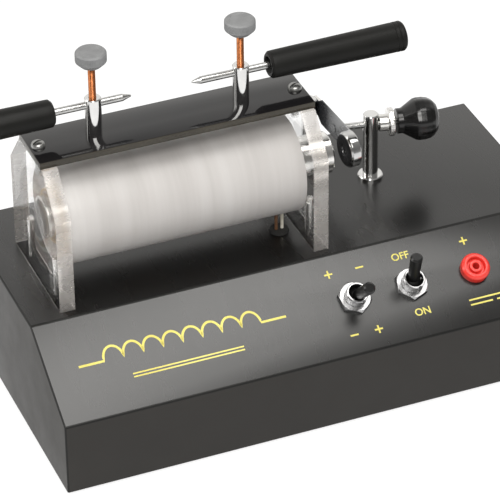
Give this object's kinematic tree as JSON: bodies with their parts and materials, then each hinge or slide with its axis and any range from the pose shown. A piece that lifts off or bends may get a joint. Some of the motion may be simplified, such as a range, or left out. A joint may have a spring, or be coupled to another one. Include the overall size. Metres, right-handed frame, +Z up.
{
  "type": "induction coil",
  "caption": "Bench induction coil on a sloping-front console, with sliding spark-gap rods, a spring interrupter, toggle switches and 4 mm sockets.",
  "frame": {"origin": "centre of the console's footprint, on the plane that the four feet rest on", "axes": "+X along the console to its right-hand end, +Y to its back, +Z up"},
  "size_m": [0.3461, 0.16, 0.2056],
  "materials": {
    "console_black": "satin black",
    "plate_grey": "matte dark board",
    "zinc_screws": "zinc plated steel",
    "foot_rubber": "black rubber",
    "clear_acrylic": "clear acrylic, sawn edges slightly frosted",
    "bridge_black": "polished black acrylic",
    "chrome_plate": "bright chrome plate",
    "sleeve_silver": "silver-white paper-backed sleeve, satin",
    "disc_cream": "cream insulating board",
    "winding_varnish": "varnished winding",
    "tube_tan": "paper laminate tube",
    "copper_wire": "enamelled copper wire",
    "core_iron": "soft iron",
    "lead_brown": "sleeved wire",
    "tag_brass": "brass",
    "handle_black": "matte black handle",
    "copper_screw": "copper-coloured screw",
    "head_aluminium": "satin aluminium, knurled rim",
    "hammer_iron": "plated soft iron",
    "reed_steel": "blued spring steel",
    "knob_black": "glossy black phenolic",
    "switch_red": "moulded phenolic",
    "nickel_bush": "nickel plate",
    "lever_black": "black moulded lever",
    "socket_red": "red moulded plastic",
    "socket_black": "black moulded plastic",
    "capacitor_yellow": "dipped film capacitor"
  },
  "bodies": {
    "console": {"console_shell": "console_black", "base_plate": "plate_grey", "base_plate_screws": "zinc_screws", "rubber_feet": "foot_rubber", "left_end_cheek": "clear_acrylic", "right_end_cheek": "clear_acrylic", "cheek_screws": "zinc_screws", "bridge_plate": "bridge_black", "bridge_screws": "chrome_plate", "coil_sleeve": "sleeve_silver", "coil_end_discs": "disc_cream", "secondary_winding": "winding_varnish", "insulating_tube": "tube_tan", "primary_winding": "copper_wire", "iron_core": "core_iron", "core_cap": "chrome_plate", "primary_leads": "lead_brown", "lead_grommet": "foot_rubber", "secondary_leads": "tag_brass", "post_nuts": "zinc_screws", "left_post": "chrome_plate", "right_post": "chrome_plate", "reed_root": "reed_steel", "reed_clamp_plate": "chrome_plate", "reed_clamp_screws": "zinc_screws", "reed_post": "chrome_plate", "contact_pillar": "chrome_plate", "pillar_collar": "chrome_plate", "pillar_nuts": "zinc_screws", "reversing_switch_body": "switch_red", "reversing_switch_bush": "nickel_bush", "reversing_switch_nut": "nickel_bush", "onoff_switch_body": "switch_red", "onoff_switch_bush": "nickel_bush", "onoff_switch_nut": "nickel_bush", "lever_pivot_pins": "zinc_screws", "red_socket": "socket_red", "black_socket": "socket_black", "socket_tubes": "tag_brass", "socket_nuts": "zinc_screws", "capacitor": "capacitor_yellow", "capacitor_strap": "zinc_screws", "strap_screws": "zinc_screws"},
    "left_spark_rod": {"left_rod": "chrome_plate", "left_handle": "handle_black"},
    "right_spark_rod": {"right_rod": "chrome_plate", "right_handle": "handle_black"},
    "left_clamp": {"left_clamp_screw": "copper_screw", "left_clamp_head": "head_aluminium"},
    "right_clamp": {"right_clamp_screw": "copper_screw", "right_clamp_head": "head_aluminium"},
    "hammer_arm": {"hammer": "hammer_iron", "hammer_rivet": "hammer_iron", "reed": "reed_steel", "contact_rivet": "reed_steel"},
    "contact_adjuster": {"contact_screw": "chrome_plate", "contact_knob": "knob_black"},
    "lock_ring": {"locking_nut": "chrome_plate"},
    "reversing_lever": {"reversing_switch_lever": "lever_black"},
    "onoff_lever": {"onoff_switch_lever": "lever_black"}
  },
  "joints": [
    {"name": "left_rod_slide", "type": "slide", "parent": "console", "child": "left_spark_rod", "axis": [1, 0, 0], "range_m": [-0.01, 0.016]},
    {"name": "right_rod_slide", "type": "slide", "parent": "console", "child": "right_spark_rod", "axis": [-1, 0, 0], "range_m": [-0.016, 0.01]},
    {"name": "left_clamp_turn", "type": "hinge", "parent": "console", "child": "left_clamp", "pos_m": [-0.0967, 0.0103, 0.174], "axis": [0, 0, 1], "range_deg": [0, 720]},
    {"name": "right_clamp_turn", "type": "hinge", "parent": "console", "child": "right_clamp", "pos_m": [-0.0145, 0.0103, 0.174], "axis": [0, 0, 1], "range_deg": [0, 720]},
    {"name": "reed_bend", "type": "hinge", "parent": "console", "child": "hammer_arm", "pos_m": [0.04883, 0.05451, 0.1102], "axis": [0, 0, -1], "range_deg": [0, 8], "stiffness_Nm_per_rad": 0.4, "springref_deg": -1.15},
    {"name": "contact_screw_turn", "type": "hinge", "parent": "console", "child": "contact_adjuster", "pos_m": [0.06985, 0.0312, 0.1085], "axis": [0.9799, -0.1994, 0], "range_deg": [-360, 360]},
    {"name": "locking_nut_turn", "type": "hinge", "parent": "console", "child": "lock_ring", "pos_m": [0.06985, 0.0312, 0.1085], "axis": [0.9799, -0.1994, 0], "range_deg": [0, 360]},
    {"name": "reversing_lever_swing", "type": "hinge", "parent": "console", "child": "reversing_lever", "pos_m": [0.023, -0.05565, 0.06249], "axis": [-0.9781, -0.1754, -0.1116], "range_deg": [0, 28]},
    {"name": "onoff_lever_swing", "type": "hinge", "parent": "console", "child": "onoff_lever", "pos_m": [0.0561, -0.05565, 0.06249], "axis": [0.9781, 0.1754, 0.1116], "range_deg": [0, 28]}
  ]
}
